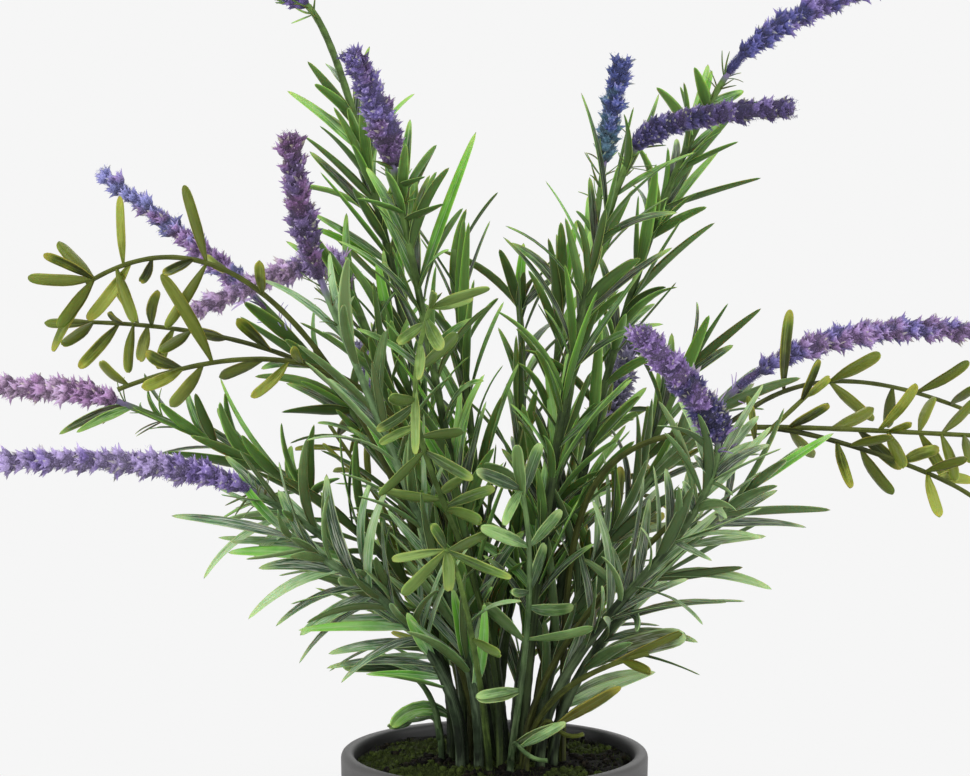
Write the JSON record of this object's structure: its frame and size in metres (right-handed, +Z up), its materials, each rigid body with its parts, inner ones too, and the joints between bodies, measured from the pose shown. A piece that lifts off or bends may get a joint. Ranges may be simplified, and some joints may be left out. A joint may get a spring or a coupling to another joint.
{
  "type": "potted lavender plant",
  "caption": "Flowering lavender with narrow leaves and olive filler sprigs, standing in the dark soil of a plain round tapered pot with a rolled lip.",
  "frame": {"origin": "centre of the pot's flat base, which stands on the ground", "axes": "+Z up along the pot's axis, -Y towards the viewer of the picture, +X to the viewer's right"},
  "size_m": [0.419, 0.2511, 0.4166],
  "materials": {
    "pot": "satin",
    "soil": "matte",
    "leaf_green": "satin",
    "leaf_grey": "satin",
    "leaf_olive": "satin",
    "leaf_sage": "satin",
    "leaf_lime": "satin",
    "bloom_mauve": "matte",
    "bloom_violet": "matte",
    "bloom_blue": "matte"
  },
  "bodies": {
    "root": {"pot": "pot", "soil": "soil", "lavender_stem_01": "leaf_green", "flower_spike_01": "bloom_mauve", "lavender_stem_02": "leaf_grey", "flower_spike_02": "bloom_mauve", "lavender_stem_03": "leaf_green", "flower_spike_03": "bloom_violet", "lavender_stem_04": "leaf_green", "flower_spike_04": "bloom_mauve", "lavender_stem_05": "leaf_green", "flower_spike_05": "bloom_mauve", "lavender_stem_06": "leaf_grey", "flower_spike_06": "bloom_violet", "lavender_stem_07": "leaf_green", "flower_spike_07": "bloom_blue", "lavender_stem_08": "leaf_green", "flower_spike_08": "bloom_violet", "lavender_stem_09": "leaf_green", "flower_spike_09": "bloom_blue", "lavender_stem_10": "leaf_green", "flower_spike_10": "bloom_blue", "lavender_stem_11": "leaf_green", "flower_spike_11": "bloom_mauve", "lavender_stem_12": "leaf_green", "flower_spike_12": "bloom_violet", "lavender_stem_13": "leaf_green", "flower_spike_13": "bloom_mauve", "lavender_stem_14": "leaf_grey", "flower_spike_14": "bloom_violet", "lavender_stem_15": "leaf_green", "lavender_stem_16": "leaf_green", "lavender_stem_17": "leaf_green", "lavender_stem_18": "leaf_grey", "lavender_stem_19": "leaf_green", "lavender_stem_20": "leaf_green", "lavender_stem_21": "leaf_green", "sprig_01": "leaf_olive", "sprig_02": "leaf_olive", "sprig_03": "leaf_olive", "sprig_04": "leaf_olive", "sprig_05": "leaf_sage", "sprig_06": "leaf_lime", "sprig_07": "leaf_lime", "sprig_08": "leaf_olive", "sprig_09": "leaf_sage", "sprig_10": "leaf_olive", "sprig_11": "leaf_olive"}
  },
  "joints": []
}
